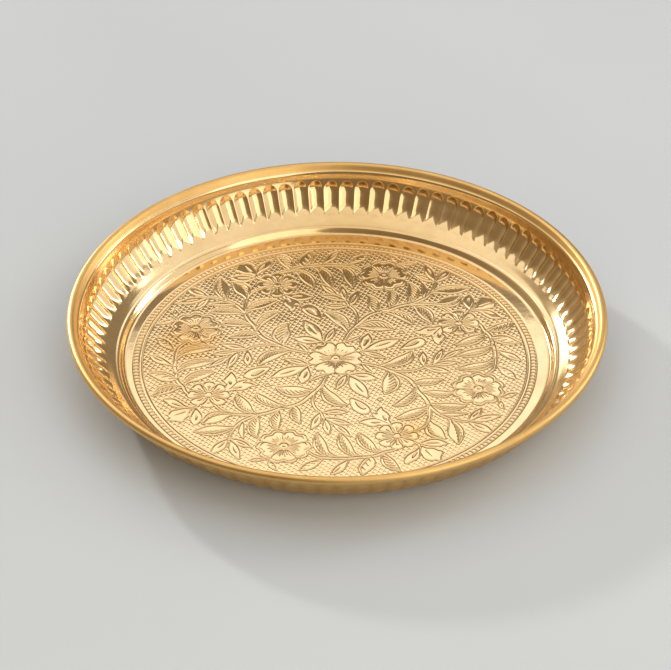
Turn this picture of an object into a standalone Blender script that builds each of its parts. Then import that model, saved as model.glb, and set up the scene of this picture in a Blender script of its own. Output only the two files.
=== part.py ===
"""Fluted brass tray with a wired rim.

Two pieces: one pressed sheet (flat floor, raised step, fluted wall, flat band,
and a rim curled over) and the round wire that the rim is curled over.
Metres, +Z up, the tray stands on z = 0 with its axis on Z.
"""

import math

import bpy
from mathutils import Vector

MM = 0.001

# Sheet
SHEET = 0.6 * MM
FLOOR_TOP = SHEET

# Radii and heights of the upper face, heights above the floor's upper face
FLOOR_RADIUS = 80.95 * MM
STEP_MID = (82.15 * MM, 1.35 * MM)
STEP_CREST = (83.45 * MM, 2.25 * MM)
FLUTE_FOOT = (87.60 * MM, 4.75 * MM)
FLUTE_HEAD = (96.00 * MM, 16.20 * MM)
BAND_EDGE = (97.70 * MM, 18.95 * MM)

# The fluted wall curves up like a bowl: radius, height, and how deep a flute is there
WALL = (
    (89.80 * MM, 6.85 * MM, 0.75),
    (92.20 * MM, 9.80 * MM, 1.00),
    (94.30 * MM, 13.00 * MM, 1.00),
)

# Flutes pressed outward into the wall
FLUTES = 96
FLUTE_DEPTH = 0.7 * MM

# Rim curl and its wire
OUTER_RADIUS = 101.5 * MM
CURL_RADIUS = 1.6 * MM
CURL_CENTRE = (OUTER_RADIUS - CURL_RADIUS, 19.8 * MM)
CURL_ANGLES = (127.0, 90.0, 45.0, 0.0, -60.0, -125.0)
WIRE_RADIUS = 0.7 * MM

# Facets around the axis: two for each flute
AROUND = 2 * FLUTES


def clear_scene():
    for obj in list(bpy.data.objects):
        bpy.data.objects.remove(obj, do_unlink=True)


def new_collection(name):
    coll = bpy.data.collections.new(name)
    bpy.context.scene.collection.children.link(coll)
    return coll


def metal(name, colour, roughness):
    mat = bpy.data.materials.new(name)
    mat.use_nodes = True
    shader = mat.node_tree.nodes["Principled BSDF"]
    shader.inputs["Base Color"].default_value = (*colour, 1.0)
    shader.inputs["Metallic"].default_value = 1.0
    shader.inputs["Roughness"].default_value = roughness
    mat.diffuse_color = (*colour, 1.0)
    return mat


def curl_points():
    """Upper face of the rim: a riser from the band's edge that meets the curl
    at a tangent, then the curl over the top and down the outside."""
    cx, cz = CURL_CENTRE
    dx, dz = cx - BAND_EDGE[0], cz - BAND_EDGE[1]
    reach = math.hypot(dx, dz)
    rise = math.atan2(dz, dx) + math.asin(CURL_RADIUS / reach)
    angles = [rise + math.pi / 2] + [math.radians(a) for a in CURL_ANGLES]
    return [(cx + CURL_RADIUS * math.cos(a), cz + CURL_RADIUS * math.sin(a)) for a in angles]


def tray_profile():
    """(radius, height, how far a flute is pressed in there) from the centre out."""
    rows = [(0.0, 0.0, 0.0), (FLOOR_RADIUS, 0.0, 0.0)]
    rows += [(*STEP_MID, 0.0), (*STEP_CREST, 0.0), (*FLUTE_FOOT, 0.0)]
    rows += list(WALL)
    rows += [(*FLUTE_HEAD, 0.0), (*BAND_EDGE, 0.0)]
    rows += [(r, z, 0.0) for r, z in curl_points()]
    return rows


def spun_sheet(rows):
    """The profile turned about Z with a Screw modifier, as one open surface."""
    mesh = bpy.data.meshes.new("tray_profile")
    verts = [Vector((r, 0.0, FLOOR_TOP + z)) for r, z, _ in rows]
    edges = [(i, i + 1) for i in range(len(rows) - 1)]
    mesh.from_pydata(verts, edges, [])
    profile = bpy.data.objects.new("tray_profile", mesh)
    bpy.context.scene.collection.objects.link(profile)
    screw = profile.modifiers.new("turn", "SCREW")
    screw.axis = "Z"
    screw.angle = 2 * math.pi
    screw.steps = AROUND
    screw.render_steps = AROUND
    screw.use_merge_vertices = True
    screw.merge_threshold = 0.00001
    bpy.context.view_layer.update()
    depsgraph = bpy.context.evaluated_depsgraph_get()
    turned = bpy.data.meshes.new_from_object(profile.evaluated_get(depsgraph))
    bpy.data.objects.remove(profile, do_unlink=True)
    return turned


def press_flutes(mesh, rows):
    """Every second line of facets on the wall goes outward, square to the wall."""
    pressed = []
    for i in range(1, len(rows) - 1):
        if rows[i][2] > 0.0:
            run, rise = rows[i + 1][0] - rows[i - 1][0], rows[i + 1][1] - rows[i - 1][1]
            length = math.hypot(run, rise)
            pressed.append((*rows[i], rise / length, -run / length))
    for v in mesh.vertices:
        r = math.hypot(v.co.x, v.co.y)
        z = v.co.z - FLOOR_TOP
        if round(math.atan2(v.co.y, v.co.x) * AROUND / (2 * math.pi)) % 2:
            continue
        for row_r, row_z, share, out_r, out_z in pressed:
            if math.hypot(r - row_r, z - row_z) < 0.05 * MM:
                depth = FLUTE_DEPTH * share
                v.co.x += depth * out_r * v.co.x / r
                v.co.y += depth * out_r * v.co.y / r
                v.co.z += depth * out_z
                break


def make_shell(coll):
    rows = tray_profile()
    mesh = spun_sheet(rows)
    press_flutes(mesh, rows)
    mesh.name = "tray_shell"
    shell = bpy.data.objects.new("tray_shell", mesh)
    coll.objects.link(shell)
    mesh.materials.clear()
    mesh.materials.append(metal("polished_brass", (0.80, 0.58, 0.25), 0.22))
    mesh.shade_smooth()
    mesh.set_sharp_from_angle(angle=math.radians(28.0))
    wall = shell.modifiers.new("sheet", "SOLIDIFY")
    wall.thickness = SHEET
    wall.offset = -1.0
    wall.use_even_offset = True
    wall.use_rim = True
    return shell


def make_wire(coll):
    bpy.ops.mesh.primitive_torus_add(
        major_segments=AROUND // 2,
        minor_segments=8,
        major_radius=CURL_CENTRE[0],
        minor_radius=WIRE_RADIUS,
        location=(0.0, 0.0, FLOOR_TOP + CURL_CENTRE[1]),
    )
    wire = bpy.context.object
    wire.name = "rim_wire"
    wire.data.name = "rim_wire"
    for other in list(wire.users_collection):
        other.objects.unlink(wire)
    coll.objects.link(wire)
    wire.data.materials.append(metal("drawn_brass_wire", (0.66, 0.47, 0.22), 0.4))
    wire.data.shade_smooth()
    return wire


def main():
    clear_scene()
    coll = new_collection("brass_tray")
    root = bpy.data.objects.new("brass_tray_frame", None)
    coll.objects.link(root)
    shell = make_shell(coll)
    wire = make_wire(coll)
    shell.parent = root
    wire.parent = root
    bpy.context.view_layer.update()


main()
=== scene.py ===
"""Brass tray with an embossed floor and a fluted wall: the visual model.

Metres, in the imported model's frame. The sheet is one dense closed mesh: a
square-to-disc grid carries the ornament on the floor, and rings of the same
vertex count carry the plain band, the step, the flutes, the rim and the
underside.
"""

import math

import bpy
import numpy as np
from mathutils import Matrix


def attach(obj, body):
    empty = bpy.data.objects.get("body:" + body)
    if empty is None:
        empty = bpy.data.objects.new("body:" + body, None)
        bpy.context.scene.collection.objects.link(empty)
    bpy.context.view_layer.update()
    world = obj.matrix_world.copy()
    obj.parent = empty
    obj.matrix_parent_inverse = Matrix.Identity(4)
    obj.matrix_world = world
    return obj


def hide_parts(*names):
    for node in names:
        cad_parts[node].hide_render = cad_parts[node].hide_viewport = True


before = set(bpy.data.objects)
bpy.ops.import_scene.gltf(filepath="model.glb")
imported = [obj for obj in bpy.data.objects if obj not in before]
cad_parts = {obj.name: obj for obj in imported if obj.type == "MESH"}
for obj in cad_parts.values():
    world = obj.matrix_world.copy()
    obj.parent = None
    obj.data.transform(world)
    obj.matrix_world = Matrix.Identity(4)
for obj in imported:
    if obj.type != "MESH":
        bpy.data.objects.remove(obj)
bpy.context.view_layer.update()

MM = 0.001
SHEET = 0.6
R_MM = 101.5

# ---------------------------------------------------------------- relief tools
HALF = 765


def spline(pts, closed=False, n=8):
    p = np.asarray(pts, float)
    m = len(p)
    out = []
    for i in range(m if closed else m - 1):
        p0 = p[(i - 1) % m] if closed or i > 0 else 2 * p[0] - p[1]
        p1, p2 = p[i], p[(i + 1) % m]
        p3 = p[(i + 2) % m] if closed or i + 2 < m else 2 * p[-1] - p[-2]
        t = np.linspace(0, 1, n, endpoint=False)[:, None]
        out.append(
            0.5 * (2 * p1 + (p2 - p0) * t + (2 * p0 - 5 * p1 + 4 * p2 - p3) * t**2
                   + (3 * p1 - p0 - 3 * p2 + p3) * t**3)
        )
    out = np.concatenate(out)
    return out if closed else np.vstack([out, p[-1]])


def quarter(p, k):
    p = np.asarray(p, float)
    for _ in range(k % 4):
        p = np.stack([-p[:, 1], p[:, 0]], -1)
    return p


def smooth(a, b, v):
    t = np.clip((v - a) / (b - a), 0, 1)
    return t * t * (3 - 2 * t)


class Relief:
    """Heights on a square grid, one unit being a thousandth of the rim's radius."""

    def __init__(self):
        self.n = 2 * HALF + 1
        ax = np.arange(-HALF, HALF + 1, dtype=np.float32)
        self.x, self.y = np.meshgrid(ax, ax)
        self.h = np.zeros((self.n, self.n), np.float32)
        self.m = np.zeros((self.n, self.n), np.float32)
        self.clear = np.full((self.n, self.n), 99.0, np.float32)

    def window(self, p, pad):
        lo = np.clip(np.floor(p.min(0) - pad).astype(int) + HALF, 0, self.n)
        hi = np.clip(np.ceil(p.max(0) + pad).astype(int) + HALF + 1, 0, self.n)
        return slice(lo[1], hi[1]), slice(lo[0], hi[0])

    def distance(self, p, win, closed, widths=None):
        """Inside is positive for a closed outline; for a line, minus the half width."""
        x, y = self.x[win], self.y[win]
        best = np.full(x.shape, 1e6, np.float32)
        inside = np.zeros(x.shape, bool)
        m = len(p)
        for i in range(m if closed else m - 1):
            a, b = p[i], p[(i + 1) % m]
            d = b - a
            t = np.clip(((x - a[0]) * d[0] + (y - a[1]) * d[1]) / max(float(d @ d), 1e-9), 0, 1)
            q = np.hypot(x - a[0] - t * d[0], y - a[1] - t * d[1])
            if widths is not None:
                q = q - (widths[i] + t * (widths[i + 1] - widths[i]))
            best = np.minimum(best, q)
            if closed and a[1] != b[1]:
                crossed = ((a[1] <= y) & (b[1] > y)) | ((b[1] <= y) & (a[1] > y))
                inside ^= crossed & (x < a[0] + (y - a[1]) * (b[0] - a[0]) / (b[1] - a[1]))
        return np.where(inside, best, -best) if closed else best


def region(R, outline, top=1.0, edge=7.0, dome=0.0, sym=4):
    """A raised pad, over whatever lies under it, with a groove around it."""
    p0 = spline(outline, True, 6)
    for k in range(sym):
        p = quarter(p0, k)
        w = R.window(p, 8)
        d = R.distance(p, w, True)
        a = smooth(-1.0, 1.5, d)
        hh = top * (0.50 + 0.50 * smooth(0.0, edge * 0.8, d)) + dome * np.clip(d, 0, 25) / 25
        R.h[w] = R.h[w] * (1 - a) + hh * a
        R.h[w] = R.h[w] * (1 - 0.75 * np.exp(-(((d + 1.9) / 1.35) ** 2)) * (d < 0.5))
        R.m[w] = np.maximum(R.m[w], a)
        R.clear[w] = np.minimum(R.clear[w], np.maximum(-d, 0))


def stem(R, pts, widths, top=0.9, sym=4):
    p0 = spline(pts, False, 8)
    ws = np.interp(np.linspace(0, len(pts) - 1, len(p0)), np.arange(len(pts)), widths)
    for k in range(sym):
        p = quarter(p0, k)
        w = R.window(p, max(widths) + 8)
        d = -R.distance(p, w, False, ws)
        a = smooth(-1.0, 1.2, d)
        R.h[w] = np.maximum(R.h[w], top * (0.45 + 0.55 * smooth(0.0, 4.0, d)) * a)
        R.m[w] = np.maximum(R.m[w], a)
        R.clear[w] = np.minimum(R.clear[w], np.maximum(-d, 0))


def cut(R, pts, widths, depth, sym=4, soft=2.0):
    """A groove along a line."""
    p0 = spline(pts, False, 6) if len(pts) > 2 else np.asarray(pts, float)
    ws = np.interp(np.linspace(0, 1, len(p0)), np.linspace(0, 1, len(widths)), widths)
    for k in range(sym):
        p = quarter(p0, k)
        w = R.window(p, max(widths) + 6)
        R.h[w] -= depth * smooth(-soft, soft * 0.6, -R.distance(p, w, False, ws))


def sink(R, outline, depth, edge=2.5, sym=4):
    """A hollow in a pad."""
    p0 = spline(outline, True, 6)
    for k in range(sym):
        p = quarter(p0, k)
        w = R.window(p, 6)
        R.h[w] -= depth * smooth(-edge * 0.6, edge, R.distance(p, w, True))


def ring_points(c, r, n):
    a = np.linspace(0, 2 * math.pi, n, endpoint=False)
    return [(c[0] + r * math.cos(t), c[1] + r * math.sin(t)) for t in a]


def leaf(R, base, tip, left, right, belly=0.5, eye=None, bend=0.0, top=1.0, ribs=0, sym=4):
    """A pointed leaf: half widths to the left and right of the line from base to tip."""
    b, t = np.asarray(base, float), np.asarray(tip, float)
    length = float(np.hypot(*(t - b)))
    u = (t - b) / length
    v = np.array([-u[1], u[0]])
    power = math.log(0.5) / math.log(belly)

    def at(s, o):
        return b + u * length * s + v * (o + bend * 4 * s * (1 - s))

    def full(s):
        return math.sin(math.pi * s**power) ** 0.9

    ss = [0.04, 0.16, 0.3, 0.45, 0.6, 0.74, 0.87]
    rim = [at(0, 0)] + [at(s, left * full(s)) for s in ss] + [at(1.0, 0)]
    rim += [at(s, -right * full(s)) for s in reversed(ss)]
    region(R, rim, top=top, sym=sym)
    if eye:
        s0, s1, w, off = eye
        es = np.linspace(0, 1, 6)
        up = [at(s0 + (s1 - s0) * e, off + w * math.sin(math.pi * e) ** 0.8) for e in es]
        dn = [at(s0 + (s1 - s0) * e, off - w * math.sin(math.pi * e) ** 0.8) for e in es[::-1]]
        sink(R, up + dn[1:-1], 0.75 * top, sym=sym)
    for i in range(ribs):
        s = 0.2 + 0.6 * i / max(1, ribs - 1)
        far = min(0.97, s + 0.12)
        cut(R, [at(s, 0), at(far, left * full(s) * 0.75)], [1.0, 0.4], 0.5, sym=sym)
        cut(R, [at(s, 0), at(far, -right * full(s) * 0.75)], [1.0, 0.4], 0.5, sym=sym)


def along(p, t):
    d = np.concatenate([[0], np.cumsum(np.hypot(*np.diff(p, axis=0).T))])
    d /= d[-1]
    return np.array([np.interp(t, d, p[:, 0]), np.interp(t, d, p[:, 1])])


def feather(R, rib, inner, veins=7, reach=0.62, lean=0.16, sym=4, top=0.95):
    """A crescent leaf: a smooth rib on one side, veins slanting from it to the inner margin."""
    a_side, b_side = spline(rib, False, 12), spline(inner, False, 12)
    out = [along(a_side, t) for t in np.linspace(0, 1, 9)]
    out += [along(b_side, t) for t in np.linspace(1, 0, 9)[1:-1]]
    region(R, out, top=top, edge=5.0, sym=sym)
    ts = np.linspace(0.05, 0.93, 8)
    fs = np.interp(np.linspace(0, 1, 8), [0, 0.5, 1], [0.30, 0.2, 0.25])
    groove = [along(a_side, t) * (1 - f) + along(b_side, t) * f for t, f in zip(ts, fs)]
    cut(R, groove, [1.2, 1.9, 1.0], 0.75, sym=sym)
    for i in range(veins):
        t = 0.12 + 0.66 * i / max(1, veins - 1)
        a = along(a_side, t) * 0.74 + along(b_side, t) * 0.26
        t2 = min(0.98, t + lean)
        b = along(a_side, t2) * (1 - reach) + along(b_side, t2) * reach
        bow = (along(a_side, min(1, t + 0.5 * lean)) - (along(a_side, t) + along(a_side, t2)) / 2) * 0.5
        cut(R, [a, (a + b) / 2 + bow, b], [2.2, 2.4, 0.9], 0.95, sym=sym, soft=1.6)


def petals(R, c, n, a0, r_out, notch, lobe, top=1.0, sym=4):
    """A ring of petals, heart-shaped where notch is over zero."""
    c = np.asarray(c, float)
    shape = ((-0.70, 0.25), (-0.96, 0.55), (-0.99, 0.8), (-0.78, 0.97), (-0.38, 1.0 + lobe), (0.0, 1.0 - notch),
             (0.38, 1.0 + lobe), (0.78, 0.97), (0.99, 0.8), (0.96, 0.55), (0.70, 0.25))
    for i in range(n):
        a = math.radians(a0 + 360.0 / n * i)
        pts = []
        for f, r in shape:
            aa = a + math.pi / n * f
            pts.append(c + r_out * r * np.array([math.cos(aa), math.sin(aa)]))
        region(R, pts, top=top, edge=6.0, sym=sym)


# ---------------------------------------------------------------- the ornament
def motifs(R):
    """One quarter of the ornament, repeated four times about its centre, and the centre flower."""
    # main stem, its two branches, and the outer stem
    stem(R, [(-88, 27), (-130, 40), (-168, 54), (-205, 78), (-240, 102), (-266, 122), (-286, 148), (-298, 178),
             (-308, 205), (-326, 235), (-339, 265), (-344, 300), (-345, 338), (-341, 372), (-330, 402), (-310, 425),
             (-284, 444)], [4, 5, 6, 6.5, 7, 7, 7, 6.5, 6.5, 6.5, 6.5, 6.5, 6, 5, 4, 3.5, 3])
    stem(R, [(-192, 70), (-222, 80), (-255, 83), (-285, 79), (-312, 68), (-334, 52), (-358, 44), (-384, 26), (-402, 4)],
         [5, 4.5, 4.5, 4.5, 4.5, 4.5, 4, 3.5, 3])
    stem(R, [(-344, 285), (-360, 312), (-380, 338), (-404, 358), (-432, 372), (-460, 381), (-490, 385)],
         [5, 5.5, 5.5, 5, 4.5, 4, 3.5])
    stem(R, [(-232, 535), (-205, 552), (-178, 562), (-150, 580), (-120, 590), (-88, 592), (-50, 598), (-10, 598),
             (30, 596), (60, 590), (84, 574), (100, 556)], [3, 5, 6, 6, 6, 6, 6, 6, 6, 5, 4, 3])
    stem(R, [(-20, 80), (-36, 92), (-48, 108)], [3, 3.5, 3])
    leaf(R, (-100, 30), (-141, 94), 8, 3, bend=-7)
    # leaves round the centre
    leaf(R, (-50, 108), (-120, 240), 24, 27, belly=0.52, eye=(0.32, 0.74, 4.5, 0))
    leaf(R, (-42, 100), (-3, 190), 13, 15, belly=0.5, eye=(0.27, 0.82, 4.0, -1))
    leaf(R, (-52, 103), (-154, 124), 21, 22, belly=0.55, eye=(0.22, 0.68, 4.5, 1))
    # drop and berry
    region(R, [(-57, 244), (-56, 270), (-62, 297), (-76, 322), (-98, 338), (-118, 334), (-128, 316), (-122, 296),
               (-106, 276), (-84, 258)])
    sink(R, [(-74, 264), (-78, 286), (-92, 306), (-106, 312), (-112, 302), (-100, 284)], 0.75)
    region(R, ring_points((-165, 250), 8, 8))
    # crescent leaves near the centre
    feather(R, [(-160, 44), (-200, 52), (-240, 48), (-270, 32), (-288, 4), (-292, -22), (-285, -44)],
            [(-160, 44), (-186, 30), (-206, 14), (-226, -4), (-250, -20), (-270, -34), (-285, -44)], veins=9)
    feather(R, [(-192, 76), (-218, 102), (-236, 132), (-238, 160), (-228, 186), (-206, 206), (-180, 219)],
            [(-192, 76), (-190, 100), (-180, 122), (-174, 150), (-174, 176), (-178, 200), (-180, 219)], veins=7)
    # on the main stem, one side
    feather(R, [(-296, 168), (-300, 200), (-296, 230), (-284, 258), (-266, 280), (-242, 292), (-214, 290)],
            [(-296, 168), (-284, 196), (-272, 216), (-256, 236), (-238, 256), (-224, 274), (-214, 290)], veins=7)
    feather(R, [(-341, 282), (-334, 318), (-320, 345), (-298, 364), (-272, 373), (-246, 372), (-222, 362)],
            [(-341, 282), (-322, 300), (-300, 306), (-276, 316), (-254, 330), (-236, 346), (-222, 362)], veins=8)
    # the other side
    feather(R, [(-290, 148), (-308, 160), (-334, 166), (-358, 163), (-378, 150), (-396, 129)],
            [(-290, 148), (-304, 136), (-322, 128), (-346, 126), (-370, 126), (-396, 129)], veins=6)
    feather(R, [(-322, 205), (-344, 224), (-370, 237), (-396, 239), (-418, 229), (-434, 208)],
            [(-322, 205), (-340, 202), (-360, 198), (-384, 200), (-410, 204), (-434, 208)], veins=7)
    feather(R, [(-352, 276), (-372, 300), (-400, 316), (-430, 320), (-458, 308), (-480, 284)],
            [(-352, 276), (-376, 278), (-400, 276), (-428, 276), (-454, 280), (-480, 284)], veins=7)
    leaf(R, (-384, 338), (-482, 334), 14, 4, belly=0.45, bend=-10)
    # tall leaves beside the daisy stem
    feather(R, [(-343, 374), (-332, 402), (-327, 432), (-336, 460), (-362, 478), (-400, 484)],
            [(-343, 374), (-358, 396), (-378, 414), (-390, 436), (-396, 460), (-400, 484)], veins=6, reach=0.42)
    feather(R, [(-414, 360), (-440, 386), (-460, 416), (-467, 450), (-460, 484), (-444, 514)],
            [(-414, 360), (-414, 392), (-411, 424), (-412, 456), (-424, 486), (-444, 514)], veins=7, reach=0.5)
    # three leaves at the end of the branch
    leaf(R, (-486, 386), (-574, 449), 19, 18, belly=0.55, eye=(0.2, 0.62, 4, 0))
    leaf(R, (-494, 380), (-604, 346), 16, 17, belly=0.5, eye=(0.3, 0.7, 4, 0))
    leaf(R, (-486, 380), (-536, 304), 13, 14, belly=0.5, eye=(0.3, 0.75, 3.5, 0))
    # spray at the end of the low branch
    leaf(R, (-332, 56), (-428, 86), 17, 15, belly=0.5, eye=(0.2, 0.68, 4, 0))
    leaf(R, (-330, 48), (-327, -42), 16, 14, belly=0.55, eye=(0.25, 0.75, 4, 0))
    leaf(R, (-364, 40), (-401, -60), 13, 15, belly=0.5, eye=(0.3, 0.75, 3.5, 0))
    leaf(R, (-366, 38), (-458, 24), 14, 13, belly=0.52, eye=(0.2, 0.75, 4, 0))
    leaf(R, (-398, 6), (-472, -56), 13, 12, belly=0.5, eye=(0.2, 0.7, 3.5, 0))
    # outer stem: leaves outside it, crescents inside
    feather(R, [(-178, 568), (-166, 596), (-168, 624), (-182, 648), (-206, 664), (-234, 674)],
            [(-178, 568), (-196, 590), (-212, 610), (-222, 632), (-230, 654), (-234, 674)], veins=6, reach=0.75)
    feather(R, [(-128, 588), (-104, 606), (-90, 632), (-84, 660), (-97, 694)],
            [(-128, 588), (-142, 606), (-143, 632), (-130, 658), (-97, 694)], veins=4, reach=0.6)
    leaf(R, (-52, 600), (14, 692), 18, 13, belly=0.6, eye=(0.5, 0.9, 3.5, 0))
    leaf(R, (42, 600), (126, 668), 18, 16, belly=0.6, ribs=4)
    feather(R, [(-170, 558), (-136, 560), (-108, 546), (-88, 522), (-78, 494), (-78, 470), (-86, 450)],
            [(-170, 558), (-150, 544), (-144, 524), (-132, 500), (-116, 478), (-100, 462), (-86, 450)], veins=7)
    feather(R, [(-92, 588), (-56, 580), (-30, 560), (-14, 534), (-8, 506), (-10, 478), (-19, 452)],
            [(-92, 588), (-72, 566), (-64, 540), (-56, 514), (-46, 490), (-34, 470), (-19, 452)], veins=7)
    feather(R, [(-14, 592), (26, 588), (54, 572), (72, 546), (80, 516), (78, 486), (64, 448)],
            [(-14, 592), (12, 574), (24, 552), (30, 524), (38, 498), (50, 474), (64, 448)], veins=7)
    # bud and small leaf by the broad flower
    leaf(R, (-606, 258), (-612, 306), 8, 9, belly=0.55, eye=(0.35, 0.8, 2.5, 0))
    stem(R, [(-598, 238), (-604, 250), (-606, 262)], [2.5, 2.5, 2])
    leaf(R, (-612, 240), (-668, 212), 9, 11, belly=0.5, ribs=3)
    # broad flower
    c = (-528, 186)
    petals(R, c, 5, 36, 97, 0.10, 0.02, top=0.75)
    petals(R, c, 5, 36, 84, 0.10, 0.02)
    for i in range(36):
        a = math.radians(10 * i + 5)
        far = 52 if i % 2 else 60
        cut(R, [(c[0] + r * math.cos(a), c[1] + r * math.sin(a)) for r in (22, far)], [1.9, 0.8], 0.8)
    region(R, ring_points(c, 17, 12), top=1.1, edge=5)
    sink(R, ring_points(c, 6, 8), 0.6)
    # daisy
    c = (-224, 467)
    for i in range(8):
        a = math.radians(45 * i)
        pts = []
        for f, r in ((-0.4, 0.2), (-0.62, 0.5), (-0.86, 0.78), (-0.62, 0.96), (0, 1.02), (0.62, 0.96), (0.86, 0.78),
                     (0.62, 0.5), (0.4, 0.2)):
            aa = a + math.pi / 8 * f
            pts.append((c[0] + 76 * r * math.cos(aa), c[1] + 76 * r * math.sin(aa)))
        region(R, pts)
        cut(R, [(c[0] + r * math.cos(a), c[1] + r * math.sin(a)) for r in (26, 50)], [1.5, 4.0], 0.7)
    region(R, ring_points(c, 13, 10), top=1.1, edge=5)
    # tulip leaf and triple leaf by the daisy
    region(R, [(-203, 398), (-176, 406), (-156, 404), (-140, 414), (-122, 408), (-106, 398), (-88, 388), (-102, 376),
               (-122, 368), (-146, 364), (-140, 350), (-136, 332), (-150, 338), (-152, 318), (-168, 296), (-176, 316),
               (-190, 332), (-198, 350), (-196, 372)])
    sink(R, [(-164, 388), (-146, 395), (-128, 390), (-146, 385)], 0.75)
    sink(R, [(-184, 380), (-176, 366), (-172, 350), (-182, 350), (-187, 366)], 0.75)
    cut(R, [(-190, 392), (-166, 376), (-148, 366)], [0.8, 1.2, 1.2], 0.5)
    leaf(R, (-304, 512), (-406, 512), 19, 22, belly=0.55, bend=6, eye=(0.2, 0.74, 4.0, -2))
    region(R, [(-312, 528), (-330, 538), (-352, 540), (-372, 552), (-388, 560), (-382, 584), (-378, 612), (-362, 606),
               (-346, 610), (-326, 602), (-316, 580), (-308, 552)])
    sink(R, [(-324, 552), (-336, 570), (-350, 588), (-340, 566), (-330, 550)], 0.75)
    region(R, [(-304, 534), (-306, 556), (-304, 580), (-292, 602), (-274, 616), (-254, 630), (-250, 606), (-256, 586),
               (-274, 566), (-290, 552)])
    sink(R, [(-296, 560), (-290, 580), (-276, 600), (-280, 578)], 0.75)
    stem(R, [(-276, 500), (-292, 508), (-304, 520), (-306, 536)], [3, 3.5, 3.5, 3])
    # centre flower, once
    petals(R, (0, 0), 6, 0, 97, 0.10, 0.03, sym=1)
    for i in range(60):
        a = math.radians(6 * i + 3)
        far = (46, 58, 50)[i % 3]
        cut(R, [(r * math.cos(a), r * math.sin(a)) for r in (21, far)], [1.8, 0.7], 0.8, sym=1)
    region(R, ring_points((0, 0), 17, 12), top=1.15, edge=5, sym=1)
    sink(R, ring_points((0, 0), 5, 8), 0.6, sym=1)


def ground(R):
    """Crossing grooves that leave small lozenge pads between the motifs."""
    def wave(period, degrees):
        a = math.radians(degrees)
        return np.abs(((R.x * math.cos(a) + R.y * math.sin(a)) / period % 1) - 0.5) * 2

    g = np.maximum(wave(16.8, -23), wave(17.2, 48))
    return 0.50 + 0.28 * (1 - smooth(0.58, 0.94, g))


BORDER = (-2.5, -8.4)
RUNGS = 240


def border(R, h):
    """The rungs, lines and smooth band around the ornament."""
    dx, dy = R.x - BORDER[0], R.y - BORDER[1]
    r = np.hypot(dx, dy)
    field = h * (1 - smooth(713.0, 717.5, r))
    plain = np.where(r > 719.0, 1.0, 0.0)
    out = np.where(r < 716.5, field, 0.0)
    band = smooth(719.5, 723.0, r) * (1 - smooth(729.5, 732.0, r))
    turn = np.arctan2(dy, dx) * RUNGS / (2 * math.pi) % 1
    gap = np.abs(turn - 0.5) * 2
    rung = (1 - smooth(0.42, 0.78, gap)) * smooth(732.5, 736.0, r) * (1 - smooth(747.5, 751.0, r))
    outside = smooth(752.5, 756.0, r)
    out = np.maximum(out, np.where(plain > 0, np.maximum(np.maximum(band, 0.92 * rung), outside), 0.0))
    return out


def ornament():
    R = Relief()
    motifs(R)
    g = ground(R) * smooth(1.5, 5.0, R.clear)
    h = np.where(R.m > 0.02, R.h * R.m + g * (1 - R.m), g)
    return border(R, np.clip(h, 0.0, 1.3)).astype(np.float32)


def sample(field, x, y):
    """Bilinear reading of a grid at ornament coordinates."""
    fx = np.clip(x + HALF, 0, 2 * HALF - 1e-3)
    fy = np.clip(y + HALF, 0, 2 * HALF - 1e-3)
    i, j = fx.astype(int), fy.astype(int)
    u, v = fx - i, fy - j
    return (field[j, i] * (1 - u) * (1 - v) + field[j, i + 1] * u * (1 - v)
            + field[j + 1, i] * (1 - u) * v + field[j + 1, i + 1] * u * v)


# ---------------------------------------------------------------- the sheet
GRID = 768
AROUND = 4 * GRID
ORNAMENT_CENTRE = np.array([-0.0055, -0.0126]) * R_MM
BORDER_CENTRE = ORNAMENT_CENTRE + np.array(BORDER) * 0.001 * R_MM
DISC_RADIUS = 0.7575 * R_MM
RELIEF_MM = 0.125
FLUTES = 96
FLUTE_TURN = 1.47


def disc_grid():
    """A square grid mapped to the unit disc, its edge evenly spaced."""
    a = np.linspace(-1, 1, GRID + 1)
    p, q = np.meshgrid(a, a)
    wide = np.abs(p) > np.abs(q)
    r = np.where(wide, p, q)
    safe = np.where(r == 0, 1, r)
    turn = np.where(wide, np.pi / 4 * q / safe, np.pi / 2 - np.pi / 4 * p / safe)
    return r * np.cos(turn), r * np.sin(turn)


def bumps(x, y, seed, waves, low, high):
    """Gentle unevenness of a hand-finished sheet, from a few crossed waves."""
    rng = np.random.default_rng(seed)
    out = np.zeros_like(x)
    for _ in range(waves):
        a = rng.uniform(0, 2 * math.pi)
        k = 2 * math.pi / rng.uniform(low, high)
        out += np.sin(k * (x * math.cos(a) + y * math.sin(a)) + rng.uniform(0, 2 * math.pi))
    return out / math.sqrt(waves)


def arc(cx, cz, r, a0, a1, n):
    a = np.radians(np.linspace(a0, a1, n))
    return [(cx + r * math.cos(t), cz + r * math.sin(t)) for t in a]


CURL = (99.9, 19.8, 1.6)
# the fluted wall, curving up like a bowl, to the foot of the rim's groove
WALL_LINE = spline([(87.6, 4.75), (89.8, 6.85), (92.2, 9.8), (94.5, 12.8), (95.85, 15.6), (96.7, 18.3)], False, 40)
WALL_RUN = np.concatenate([[0], np.cumsum(np.hypot(*np.diff(WALL_LINE, axis=0).T))])
WALL = float(WALL_RUN[-1])
FLUTE_TOP = 13.9
FLUTE_DEPTH = 0.78


def bezier(p, n):
    t = np.linspace(0, 1, n)[:, None]
    a, b, c, d = [np.asarray(v, float) for v in p]
    return (1 - t) ** 3 * a + 3 * (1 - t) ** 2 * t * b + 3 * (1 - t) * t**2 * c + t**3 * d


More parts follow.
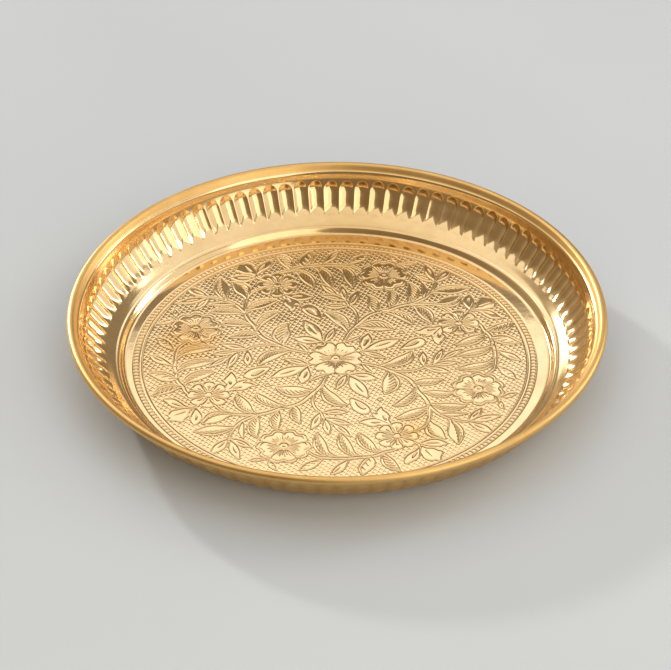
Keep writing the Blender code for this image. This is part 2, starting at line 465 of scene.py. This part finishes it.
def section():
    """Upper face from the plain floor out to the end of the curl: (radius, height, run up the wall or -9)."""
    rows = []

    def add(points, skip=0, wall=None):
        for i, p in enumerate(points):
            if i >= skip:
                rows.append((float(p[0]), float(p[1]), -9.0 if wall is None else float(wall[i])))

    # inner edge of the step, its rounded crest, and the shallow cove behind it
    add(bezier([(79.9, 0.0), (80.9, 0.0), (81.0, 0.25), (81.6, 1.0)], 9))
    add(bezier([(81.6, 1.0), (82.2, 1.75), (82.6, 2.32), (83.45, 2.34)], 9), 1)
    add(bezier([(83.45, 2.34), (84.3, 2.36), (85.4, 3.3), (87.6, 4.75)], 13), 1)
    y = np.concatenate([np.linspace(0, 5.0, 17), np.linspace(5.0, 10.5, 14)[1:], np.linspace(10.5, 14.8, 21)[1:],
                        np.linspace(14.8, WALL, 5)[1:]])
    add(np.stack([np.interp(y, WALL_RUN, WALL_LINE[:, 0]), np.interp(y, WALL_RUN, WALL_LINE[:, 1])], -1), 1, y)
    add(bezier([(96.7, 18.3), (96.86, 18.8), (97.08, 19.12), (97.5, 19.28)], 7), 1)
    cx, cz, cr = CURL
    dx, dz = cx - 97.5, cz - 19.28
    start = math.degrees(math.atan2(dz, dx) + math.asin(cr / math.hypot(dx, dz))) + 90
    tangent = (cx + cr * math.cos(math.radians(start)), cz + cr * math.sin(math.radians(start)))
    add([(97.5 + (tangent[0] - 97.5) * t, 19.28 + (tangent[1] - 19.28) * t) for t in (0.3, 0.65)])
    turns = list(np.linspace(start, 90, 9)) + list(np.linspace(90, 0, 11))[1:] + list(np.linspace(0, -125, 15))[1:]
    add([(cx + cr * math.cos(math.radians(a)), cz + cr * math.sin(math.radians(a))) for a in turns])
    return np.array(rows)


def flute(theta, y, r):
    """How far the wall is pressed out, in mm: channels with round tops, fading into the cove, narrow ridges between."""
    rng = np.random.default_rng(11)
    deep = 1.0 + rng.uniform(-0.12, 0.12, FLUTES)
    shift = rng.uniform(-0.04, 0.04, FLUTES)
    high = rng.uniform(-0.3, 0.3, FLUTES)
    low = rng.uniform(-0.35, 0.35, FLUTES)
    t = (np.degrees(theta) - FLUTE_TURN) / (360 / FLUTES)
    i = np.round(t).astype(int)
    k = i % FLUTES
    pitch = 2 * math.pi * r / FLUTES
    half = 0.5 * pitch
    x = (t - i - shift[k] * np.cos((t - i) * math.pi)) * pitch
    over = np.maximum(y - (FLUTE_TOP + high[k] - half * 1.35), 0.0) / (half * 1.35)
    under = np.maximum(low[k] + 1.4 - y, 0.0) / 2.2
    d = np.clip(1 - np.hypot(x / half, over + 0.85 * under), 0, 1)
    depth = 1 - (1 - d) ** 1.9
    ease = (np.sqrt(depth**2 + 0.02) - 0.1414) / 0.868
    return FLUTE_DEPTH * deep[k] * ease * (0.15 + 0.85 * smooth(-1.4, 4.8, y - low[k]))


def shell_mesh():
    rows = section()
    px, py = disc_grid()
    n1 = GRID + 1
    dx = BORDER_CENTRE[0] + DISC_RADIUS * px
    dy = BORDER_CENTRE[1] + DISC_RADIUS * py
    relief = ornament()
    ux = (dx - ORNAMENT_CENTRE[0]) / (0.001 * R_MM)
    uy = (dy - ORNAMENT_CENTRE[1]) / (0.001 * R_MM)
    h = sample(relief, ux, uy)
    wave = 0.018 * bumps(dx, dy, 3, 14, 9, 34)
    fade = 1 - smooth(0.90, 1.0, np.hypot(px, py))
    dz = RELIEF_MM * (h - 1.0) + wave * fade
    verts = [np.stack([dx.ravel(), dy.ravel(), dz.ravel() + SHEET], -1)]
    recess = [np.clip(1.0 - h, 0, 1).ravel()]
    wear_and_reflection_rows = [np.full(n1 * n1, -0.32)]
    idx = np.arange(n1 * n1).reshape(n1, n1)
    faces4 = [np.stack([idx[:-1, :-1], idx[:-1, 1:], idx[1:, 1:], idx[1:, :-1]], -1).reshape(-1, 4)]
    faces3 = []
    edge = np.concatenate([idx[0, :-1], idx[:-1, -1], idx[-1, :0:-1], idx[:0:-1, 0]])
    # even angles around the edge, counter-clockwise
    theta = np.arctan2((dy.ravel()[edge] - BORDER_CENTRE[1]), (dx.ravel()[edge] - BORDER_CENTRE[0]))
    order = np.argsort(theta)
    edge, theta = edge[order], theta[order]
    count = n1 * n1
    state = {"count": count, "last": edge}

    def ring(cx, cy, r, z, rec=0.0, wear_and_warm_reflection=0.0):
        x = cx + r * np.cos(theta)
        y = cy + r * np.sin(theta)
        verts.append(np.stack([x, y, np.broadcast_to(z, x.shape)], -1))
        recess.append(np.broadcast_to(rec, x.shape))
        wear_and_reflection_rows.append(np.broadcast_to(wear_and_warm_reflection, x.shape))
        new = np.arange(state["count"], state["count"] + len(x))
        state["count"] += len(x)
        old = state["last"]
        faces4.append(np.stack([old, new, np.roll(new, -1), np.roll(old, -1)], -1))
        state["last"] = new

    # plain floor between the border and the step
    for t in (0.12, 0.3, 0.5, 0.7, 0.85, 0.94):
        r = DISC_RADIUS + (79.9 - DISC_RADIUS) * t
        cx, cy = BORDER_CENTRE * (1 - t)
        ring(cx, cy, r, SHEET, 0.0, -0.32)
    # upper face, then the same rows back on the other side of the sheet
    d_r = np.gradient(rows[:, 0])
    d_z = np.gradient(rows[:, 1])
    ln = np.hypot(d_r, d_z)
    nr, nz = -d_z / ln, d_r / ln
    sway = 0.05 * bumps(60 * np.cos(theta), 60 * np.sin(theta), 8, 9, 25, 90)

    def place(i, side):
        r, z, s = rows[i]
        if side:
            r, z = r - nr[i] * SHEET, z - nz[i] * SHEET
        k = sway * smooth(80.0, 84.0, r) * (1 - smooth(97.0, 98.6, r))
        rec = 0.0
        if s > -1:
            f = flute(theta, s, rows[i][0])
            r, z = r - f * nr[i], z - f * nz[i]
        return r + k * 0.6, z + k * 0.5, rec

    for i in range(len(rows)):
        r, z, rec = place(i, False)
        # the rim's upper face: more roughness, and the painted warm reflection tint
        wear_and_warm_reflection = float(smooth(18.7, 19.5, rows[i][1])) if rows[i][0] > 97.2 else 0.0
        ring(0, 0, r, SHEET + z, rec * 0.0, wear_and_warm_reflection)
    for i in range(len(rows) - 1, -1, -1):
        r, z, rec = place(i, True)
        # outside of the wall: more roughness, and the painted warm reflection tint
        ring(0, 0, r, np.maximum(SHEET + z, 0.0), 0.0, float(smooth(80.0, 84.0, rows[i][0])))
    # underside of the floor: rings that halve their count towards the centre
    ring(0, 0, 79.0, 0.0)
    ring(0, 0, 76.0, 0.0)
    r, last, th = 76.0, state["last"], theta
    while len(last) > 12:
        r *= 0.72
        th2 = th[::2]
        x, y = r * np.cos(th2), r * np.sin(th2)
        verts.append(np.stack([x, y, np.zeros_like(x)], -1))
        recess.append(np.zeros_like(x))
        wear_and_reflection_rows.append(np.zeros_like(x))
        new = np.arange(state["count"], state["count"] + len(x))
        state["count"] += len(x)
        nxt = np.roll(new, -1)
        a, b, c = last[0::2], last[1::2], np.roll(last, -1)[1::2]
        faces3.append(np.stack([a, new, b], -1))
        faces3.append(np.stack([b, new, nxt], -1))
        faces3.append(np.stack([b, nxt, c], -1))
        last, th = new, th2
    tip = state["count"]
    verts.append(np.array([[0.0, 0.0, 0.0]]))
    recess.append(np.zeros(1))
    wear_and_reflection_rows.append(np.zeros(1))
    faces3.append(np.stack([last, np.full(len(last), tip), np.roll(last, -1)], -1))

    v = np.concatenate(verts).astype(np.float32) * MM
    q = np.concatenate(faces4)
    t = np.concatenate(faces3)
    mesh = bpy.data.meshes.new("tray_sheet")
    mesh.vertices.add(len(v))
    mesh.vertices.foreach_set("co", v.ravel())
    loops = np.concatenate([q.ravel(), t.ravel()]).astype(np.int32)
    mesh.loops.add(len(loops))
    mesh.loops.foreach_set("vertex_index", loops)
    starts = np.concatenate([np.arange(len(q)) * 4, len(q) * 4 + np.arange(len(t)) * 3]).astype(np.int32)
    mesh.polygons.add(len(starts))
    mesh.polygons.foreach_set("loop_start", starts)
    mesh.polygons.foreach_set("use_smooth", np.ones(len(starts), bool))
    mesh.update(calc_edges=True)
    for name, data in (("recess", recess), ("wear_and_warm_reflection", wear_and_reflection_rows)):
        layer = mesh.attributes.new(name, "FLOAT", "POINT")
        layer.data.foreach_set("value", np.concatenate([np.ravel(d) for d in data]).astype(np.float32))
    mesh.validate(clean_customdata=False)
    return mesh


# ---------------------------------------------------------------- materials
def node(tree, kind, at, **values):
    n = tree.nodes.new(kind)
    n.location = at
    for key, value in values.items():
        setattr(n, key, value)
    return n


def link(tree, a, b):
    tree.links.new(a, b)


def ramp(tree, source, stops, at):
    n = node(tree, "ShaderNodeValToRGB", at)
    e = n.color_ramp.elements
    while len(e) > 1:
        e.remove(e[-1])
    e[0].position, e[0].color = stops[0][0], stops[0][1]
    for pos, colour in stops[1:]:
        e.new(pos).color = colour
    link(tree, source, n.inputs["Fac"])
    return n


def grey(v):
    return (v, v, v, 1.0)


def noise(tree, coords, scale, detail, rough, at, distortion=0.0):
    n = node(tree, "ShaderNodeTexNoise", at)
    n.inputs["Scale"].default_value = scale
    n.inputs["Detail"].default_value = detail
    n.inputs["Roughness"].default_value = rough
    n.inputs["Distortion"].default_value = distortion
    link(tree, coords, n.inputs["Vector"])
    return n


def maths(tree, op, a, b, at, clamp=False):
    n = node(tree, "ShaderNodeMath", at, operation=op, use_clamp=clamp)
    for i, v in enumerate((a, b)):
        if v is None:
            continue
        if isinstance(v, (int, float)):
            n.inputs[i].default_value = v
        else:
            link(tree, v, n.inputs[i])
    return n.outputs[0]


def mix(tree, kind, fac, a, b, at):
    n = node(tree, "ShaderNodeMix", at, data_type="RGBA", blend_type=kind)
    for name, v in (("Factor", fac), ("A", a), ("B", b)):
        socket = [s for s in n.inputs if s.name == name and s.enabled][0]
        if isinstance(v, (int, float)):
            socket.default_value = v
        elif isinstance(v, tuple):
            socket.default_value = v
        else:
            link(tree, v, socket)
    return [s for s in n.outputs if s.enabled][0]


def polished_brass():
    mat = bpy.data.materials.new("polished_brass_aged")
    mat.use_nodes = True
    t = mat.node_tree
    shader = t.nodes["Principled BSDF"]
    shader.inputs["Metallic"].default_value = 1.0
    co = node(t, "ShaderNodeTexCoord", (-1900, 0)).outputs["Object"]
    recess = node(t, "ShaderNodeAttribute", (-1900, 300), attribute_name="recess").outputs["Fac"]
    # rougher where this is high; it is also the mask of the painted warm reflection on the rim and outside
    wear_and_warm_reflection = node(t, "ShaderNodeAttribute", (-1900, 500), attribute_name="wear_and_warm_reflection").outputs["Fac"]

    # warm and pale drifts over the sheet, then finer mottling
    drift = noise(t, co, 22.0, 3.0, 0.55, (-1600, 100), 0.6)
    mottle = noise(t, co, 160.0, 5.0, 0.6, (-1600, -150))
    base = ramp(t, drift.outputs["Fac"], [
        (0.30, (0.83, 0.59, 0.30, 1)),
        (0.50, (0.87, 0.64, 0.34, 1)),
        (0.72, (0.89, 0.67, 0.375, 1)),
    ], (-1300, 100)).outputs["Color"]
    fine = ramp(t, mottle.outputs["Fac"], [(0.35, grey(0.93)), (0.62, grey(1.0))], (-1300, -150)).outputs["Color"]
    colour = mix(t, "MULTIPLY", 1.0, base, fine, (-1000, 60))
    # brown tarnish held in the pressed grooves
    grime = noise(t, co, 60.0, 4.0, 0.6, (-1600, 400))
    hold = maths(t, "MULTIPLY", recess, maths(t, "ADD", grime.outputs["Fac"], 0.15, (-1300, 480)), (-1150, 400), True)
    colour = mix(t, "MIX", maths(t, "MULTIPLY", hold, 0.45, (-1000, 400), True), colour, (0.42, 0.24, 0.075, 1), (-800, 100))
    # warmer metal on the rim and outside, where it is handled and never buffed
    # painted warm reflection and shade: the rim and the outside are tinted more orange, standing in for the gold light
    # and shade they reflect
    colour = mix(t, "MULTIPLY", wear_and_warm_reflection, colour, (0.86, 0.735, 0.50, 1), (-700, 240))
    # two faint brown stains on the floor, and a broad brown painted reflection of the back wall over the back of it
    for centre, inner, outer, stain_and_reflection_tint, at in (((-0.057, 0.009, 0.0006), 0.004, 0.017, (0.92, 0.77, 0.55, 1), 900),
                                           ((0.029, -0.046, 0.0006), 0.002, 0.013, (0.95, 0.84, 0.66, 1), 1150),
                                           # painted reflection of the back wall: a broad brown darkening over the back
                                           # of the floor
                                           ((0.004, 0.064, 0.0006), 0.014, 0.046, (0.80, 0.73, 0.60, 1), 1400)):
        away = node(t, "ShaderNodeVectorMath", (-1600, at), operation="DISTANCE")
        link(t, co, away.inputs[0])
        away.inputs[1].default_value = centre
        ragged = maths(t, "ADD", away.outputs["Value"], maths(t, "MULTIPLY", grime.outputs["Fac"], 0.014, (-1400, at + 90)), (-1250, at))
        stain_and_reflection_mask = ramp(t, ragged, [(inner + 0.006, grey(1.0)), (outer + 0.006, grey(0.0))], (-1050, at))
        colour = mix(t, "MULTIPLY", stain_and_reflection_mask.outputs["Color"], colour, stain_and_reflection_tint, (-760, at))
    # scattered dark specks
    spots = node(t, "ShaderNodeTexVoronoi", (-1600, -420), feature="F1")
    spots.inputs["Scale"].default_value = 95.0
    spots.inputs["Randomness"].default_value = 1.0
    link(t, co, spots.inputs["Vector"])
    keep = ramp(t, spots.outputs["Color"], [(0.86, grey(0.0)), (0.90, grey(1.0))], (-1300, -560)).outputs["Color"]
    dot = ramp(t, spots.outputs["Distance"], [(0.02, grey(1.0)), (0.075, grey(0.0))], (-1300, -360)).outputs["Color"]
    speck = maths(t, "MULTIPLY", dot, keep, (-1000, -420))
    colour = mix(t, "MIX", maths(t, "MULTIPLY", speck, 0.6, (-850, -420), True), colour, (0.16, 0.085, 0.03, 1), (-600, 60))
    link(t, colour, shader.inputs["Base Color"])

    # roughness: polished overall, duller in grooves and in cloudy handled areas
    cloud = noise(t, co, 34.0, 4.0, 0.6, (-1600, -800), 0.4)
    rough = ramp(t, cloud.outputs["Fac"], [(0.32, grey(0.11)), (0.55, grey(0.15)), (0.75, grey(0.21))], (-1300, -800)).outputs["Color"]
    r = maths(t, "ADD", rough, maths(t, "MULTIPLY", hold, 0.22, (-1000, -700)), (-850, -760))
    r = maths(t, "ADD", r, maths(t, "MULTIPLY", wear_and_warm_reflection, 0.26, (-1000, -900)), (-700, -760))
    r = maths(t, "ADD", r, maths(t, "MULTIPLY", speck, 0.25, (-850, -950)), (-550, -760), True)
    link(t, r, shader.inputs["Roughness"])

    # hairline polishing scratches and a faint orange-peel
    stretch = node(t, "ShaderNodeMapping", (-1600, -1150))
    stretch.inputs["Rotation"].default_value = (0.0, 0.0, 0.6)
    stretch.inputs["Scale"].default_value = (900.0, 60.0, 300.0)
    link(t, co, stretch.inputs["Vector"])
    hair = noise(t, stretch.outputs["Vector"], 1.0, 3.0, 0.6, (-1350, -1150))
    peel = noise(t, co, 420.0, 2.0, 0.5, (-1350, -1350))
    relief = maths(t, "ADD", maths(t, "MULTIPLY", hair.outputs["Fac"], 0.35, (-1100, -1150)),
                   maths(t, "MULTIPLY", peel.outputs["Fac"], 0.65, (-1100, -1350)), (-900, -1200))
    bump = node(t, "ShaderNodeBump", (-400, -600))
    bump.inputs["Strength"].default_value = 0.35
    bump.inputs["Distance"].default_value = 0.00002
    link(t, relief, bump.inputs["Height"])
    link(t, bump.outputs["Normal"], shader.inputs["Normal"])
    return mat


def drawn_wire():
    mat = bpy.data.materials.new("drawn_brass_wire_aged")
    mat.use_nodes = True
    t = mat.node_tree
    shader = t.nodes["Principled BSDF"]
    shader.inputs["Metallic"].default_value = 1.0
    co = node(t, "ShaderNodeTexCoord", (-1200, 0)).outputs["Object"]
    tone = noise(t, co, 70.0, 4.0, 0.6, (-900, 100))
    colour = ramp(t, tone.outputs["Fac"], [(0.3, (0.40, 0.24, 0.085, 1)), (0.6, (0.66, 0.44, 0.17, 1))], (-600, 100))
    link(t, colour.outputs["Color"], shader.inputs["Base Color"])
    rough = ramp(t, noise(t, co, 240.0, 3.0, 0.5, (-900, -200)).outputs["Fac"], [(0.3, grey(0.30)), (0.7, grey(0.48))], (-600, -200))
    link(t, rough.outputs["Color"], shader.inputs["Roughness"])
    bump = node(t, "ShaderNodeBump", (-300, -300))
    bump.inputs["Strength"].default_value = 0.3
    bump.inputs["Distance"].default_value = 0.00003
    link(t, noise(t, co, 900.0, 2.0, 0.5, (-900, -450)).outputs["Fac"], bump.inputs["Height"])
    link(t, bump.outputs["Normal"], shader.inputs["Normal"])
    return mat


# ---------------------------------------------------------------- pieces
sheet = bpy.data.objects.new("tray_sheet", shell_mesh())
bpy.context.scene.collection.objects.link(sheet)
sheet.data.materials.append(polished_brass())
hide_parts("tray_shell")
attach(sheet, "root")

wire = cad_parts["rim_wire"]
wire.data.materials.clear()
wire.data.materials.append(drawn_wire())

# ---------------------------------------------------------------- floor
bpy.ops.mesh.primitive_grid_add(x_subdivisions=8, y_subdivisions=8, size=8.0, location=(0, 0.6, -0.00005))
floor = bpy.context.object
floor.name = "studio_floor"
fm = bpy.data.materials.new("pale_floor")
fm.use_nodes = True
ft = fm.node_tree
fs = ft.nodes["Principled BSDF"]
fs.inputs["Roughness"].default_value = 0.45
fs.inputs["Specular IOR Level"].default_value = 0.25
fco = node(ft, "ShaderNodeTexCoord", (-900, 0)).outputs["Object"]
tone = noise(ft, fco, 3.0, 3.0, 0.5, (-700, 0))
link(ft, ramp(ft, tone.outputs["Fac"], [(0.3, (0.452, 0.484, 0.516, 1)), (0.7, (0.484, 0.517, 0.55, 1))], (-450, 0)).outputs["Color"],
     fs.inputs["Base Color"])
floor.data.materials.append(fm)

# ---------------------------------------------------------------- light
RIM = R_MM * MM


def area(name, azimuth, elevation, distance, size, power, colour=(1, 1, 1), spin=0.0):
    """A soft panel aimed at the tray; azimuth is counter-clockwise from +X."""
    a, e = math.radians(azimuth), math.radians(elevation)
    data = bpy.data.lights.new(name, "AREA")
    data.shape = "RECTANGLE"
    data.size, data.size_y = size
    data.energy = power
    data.color = colour
    obj = bpy.data.objects.new(name, data)
    bpy.context.scene.collection.objects.link(obj)
    away = Matrix.Rotation(a, 3, "Z") @ Matrix.Rotation(-e, 3, "Y")
    direction = away.col[0]
    obj.location = direction * distance
    obj.rotation_mode = "QUATERNION"
    obj.rotation_quaternion = (-direction).to_track_quat("-Z", "Y")
    obj.rotation_quaternion = obj.rotation_quaternion @ Matrix.Rotation(spin, 3, "Z").to_quaternion()
    return obj


def panel(name, azimuth, elevation, distance, size, radiance, colour=(1, 1, 1), spin=0.0):
    """The same, by how bright the panel looks."""
    return area(name, azimuth, elevation, distance, size, radiance * math.pi * size[0] * size[1], colour, spin)


panel("key", 128, 20, 2.0, (0.13, 0.13), 400.0, (1.0, 0.955, 0.89))
panel("overhead", 90, 80, 1.2, (2.0, 1.66), 0.80, (0.98, 1.0, 1.03))
panel("back_window", 101, 41.7, 1.5, (1.06, 0.29), 1.16, (0.98, 1.0, 1.06), spin=-0.05)
panel("right_wall", -5, 27, 1.25, (1.5, 0.8), 0.72, (1.0, 0.98, 0.95))
panel("right_window", 28, 27, 1.3, (0.32, 0.70), 4.4, (1.0, 0.99, 0.97))
panel("front_right", -52, 34, 1.3, (0.9, 1.4), 1.30, (1.0, 0.97, 0.91))
panel("left_window", 121, 19, 1.6, (0.5, 0.42), 1.8, (1.0, 0.99, 0.95))
fill = panel("shadow_fill", 268, 32, 1.4, (1.6, 1.0), 1.8, (1.0, 0.91, 0.76))
fill.visible_glossy = False

world = bpy.data.worlds.new("studio")
bpy.context.scene.world = world
world.use_nodes = True
wt = world.node_tree
background = wt.nodes["Background"]
background.inputs["Strength"].default_value = 1.0
wco = node(wt, "ShaderNodeTexCoord", (-1100, 0)).outputs["Generated"]
lean = node(wt, "ShaderNodeVectorMath", (-900, 0), operation="DOT_PRODUCT")
link(wt, wco, lean.inputs[0])
lean.inputs[1].default_value = (0.55, 0.70, 0.45)
side = node(wt, "ShaderNodeMath", (-700, 0), operation="MULTIPLY_ADD")
side.inputs[1].default_value = 0.5
side.inputs[2].default_value = 0.5
link(wt, lean.outputs["Value"], side.inputs[0])
sweep = ramp(wt, side.outputs[0], [
    (0.0, (0.27, 0.205, 0.13, 1)), (0.28, (0.27, 0.205, 0.135, 1)), (0.50, (0.46, 0.40, 0.32, 1)),
    (0.75, (0.33, 0.28, 0.22, 1)), (1.0, (0.31, 0.26, 0.20, 1))], (-450, 0))
link(wt, sweep.outputs["Color"], background.inputs["Color"])

# ---------------------------------------------------------------- camera
FOCAL_PX = 3405.4
ELEVATION = math.radians(36.908)
DISTANCE = 12.7248 * RIM
ROLL, PAN, TILT = 0.00127882, 0.000449334, 0.00609408

data = bpy.data.cameras.new("camera")
data.sensor_fit = "HORIZONTAL"
data.sensor_width = 36.0
data.lens = FOCAL_PX / 671 * 36.0
data.clip_start, data.clip_end = 0.05, 30.0
camera = bpy.data.objects.new("camera", data)
bpy.context.scene.collection.objects.link(camera)
back = np.array([0.0, -math.cos(ELEVATION), math.sin(ELEVATION)])
x0 = np.array([1.0, 0.0, 0.0])
y0 = np.cross(back, x0)
xr = math.cos(ROLL) * x0 + math.sin(ROLL) * y0
yr = -math.sin(ROLL) * x0 + math.cos(ROLL) * y0


def turn(v, axis, angle):
    return v * math.cos(angle) + np.cross(axis, v) * math.sin(angle) + axis * (axis @ v) * (1 - math.cos(angle))


x1, z1 = turn(xr, yr, PAN), turn(back, yr, PAN)
y2, z2 = turn(yr, x1, TILT), turn(z1, x1, TILT)
m = Matrix.Identity(4)
for i, axis in enumerate((x1, y2, z2)):
    for j in range(3):
        m[j][i] = axis[j]
where = back * DISTANCE + np.array([0, 0, SHEET * MM])
for j in range(3):
    m[j][3] = where[j]
camera.matrix_world = m
bpy.context.scene.camera = camera
bpy.context.scene.view_settings.view_transform = "Standard"
bpy.context.scene.view_settings.look = "None"
bpy.context.scene.view_settings.exposure = 0.0

bpy.context.view_layer.update()
